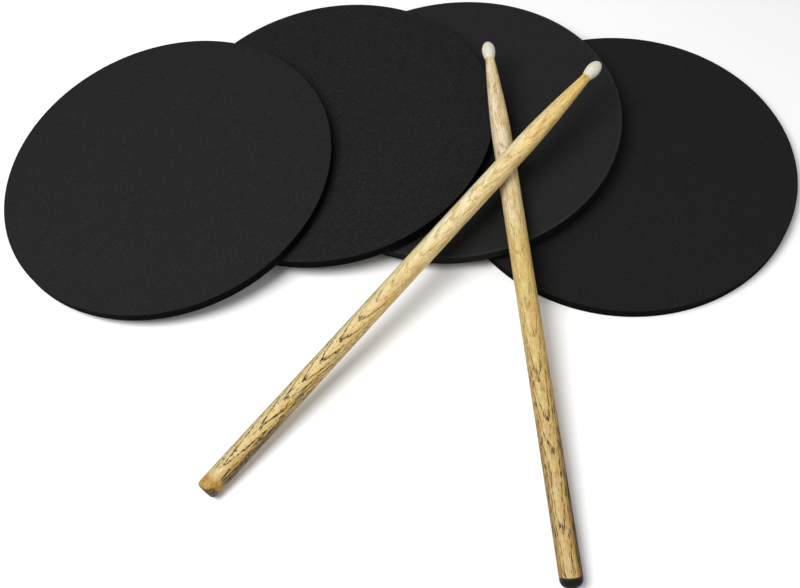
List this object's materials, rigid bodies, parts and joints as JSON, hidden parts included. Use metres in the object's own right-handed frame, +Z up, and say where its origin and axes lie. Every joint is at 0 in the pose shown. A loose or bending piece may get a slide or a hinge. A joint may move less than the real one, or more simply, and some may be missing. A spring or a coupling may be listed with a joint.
{
  "type": "drum practice pad set",
  "caption": "Round cloth-faced foam rubber drum mute pads fanned out in an overlapping row, with crossed nylon-tipped wooden drumsticks resting on them.",
  "frame": {"origin": "on the ground, under the middle of the whole set's outline", "axes": "+X runs along the row of pads, from the topmost pad to the lowest one, which lies flat; +Y points from the sticks' butts toward the pads; +Z is up"},
  "size_m": [0.5914, 0.4917, 0.0659],
  "materials": {
    "cloth": "matte",
    "foam": "matte",
    "grip": "matte",
    "hickory": "satin",
    "nylon": "satin"
  },
  "bodies": {
    "pad_4": {"pad_4_cloth": "cloth", "pad_4_core": "foam", "pad_4_base": "grip"},
    "pad_3": {"pad_3_cloth": "cloth", "pad_3_core": "foam", "pad_3_base": "grip"},
    "pad_2": {"pad_2_cloth": "cloth", "pad_2_core": "foam", "pad_2_base": "grip"},
    "pad_1": {"pad_1_cloth": "cloth", "pad_1_core": "foam", "pad_1_base": "grip"},
    "stick_b": {"stick_b_shaft": "hickory", "stick_b_tip": "nylon"},
    "stick_a": {"stick_a_shaft": "hickory", "stick_a_tip": "nylon"}
  },
  "joints": [
    {"name": "pad_3_lift", "type": "slide", "parent": "pad_4", "child": "pad_3", "axis": [0, 0, 1], "range_m": [0, 0.1]},
    {"name": "pad_2_lift", "type": "slide", "parent": "pad_3", "child": "pad_2", "axis": [0, 0, 1], "range_m": [0, 0.1]},
    {"name": "pad_1_lift", "type": "slide", "parent": "pad_2", "child": "pad_1", "axis": [0, 0, 1], "range_m": [0, 0.1]},
    {"name": "stick_b_lift", "type": "slide", "parent": "pad_2", "child": "stick_b", "axis": [0, 0, 1], "range_m": [0, 0.1]},
    {"name": "stick_a_lift", "type": "slide", "parent": "stick_b", "child": "stick_a", "axis": [0, 0, 1], "range_m": [0, 0.1]}
  ]
}
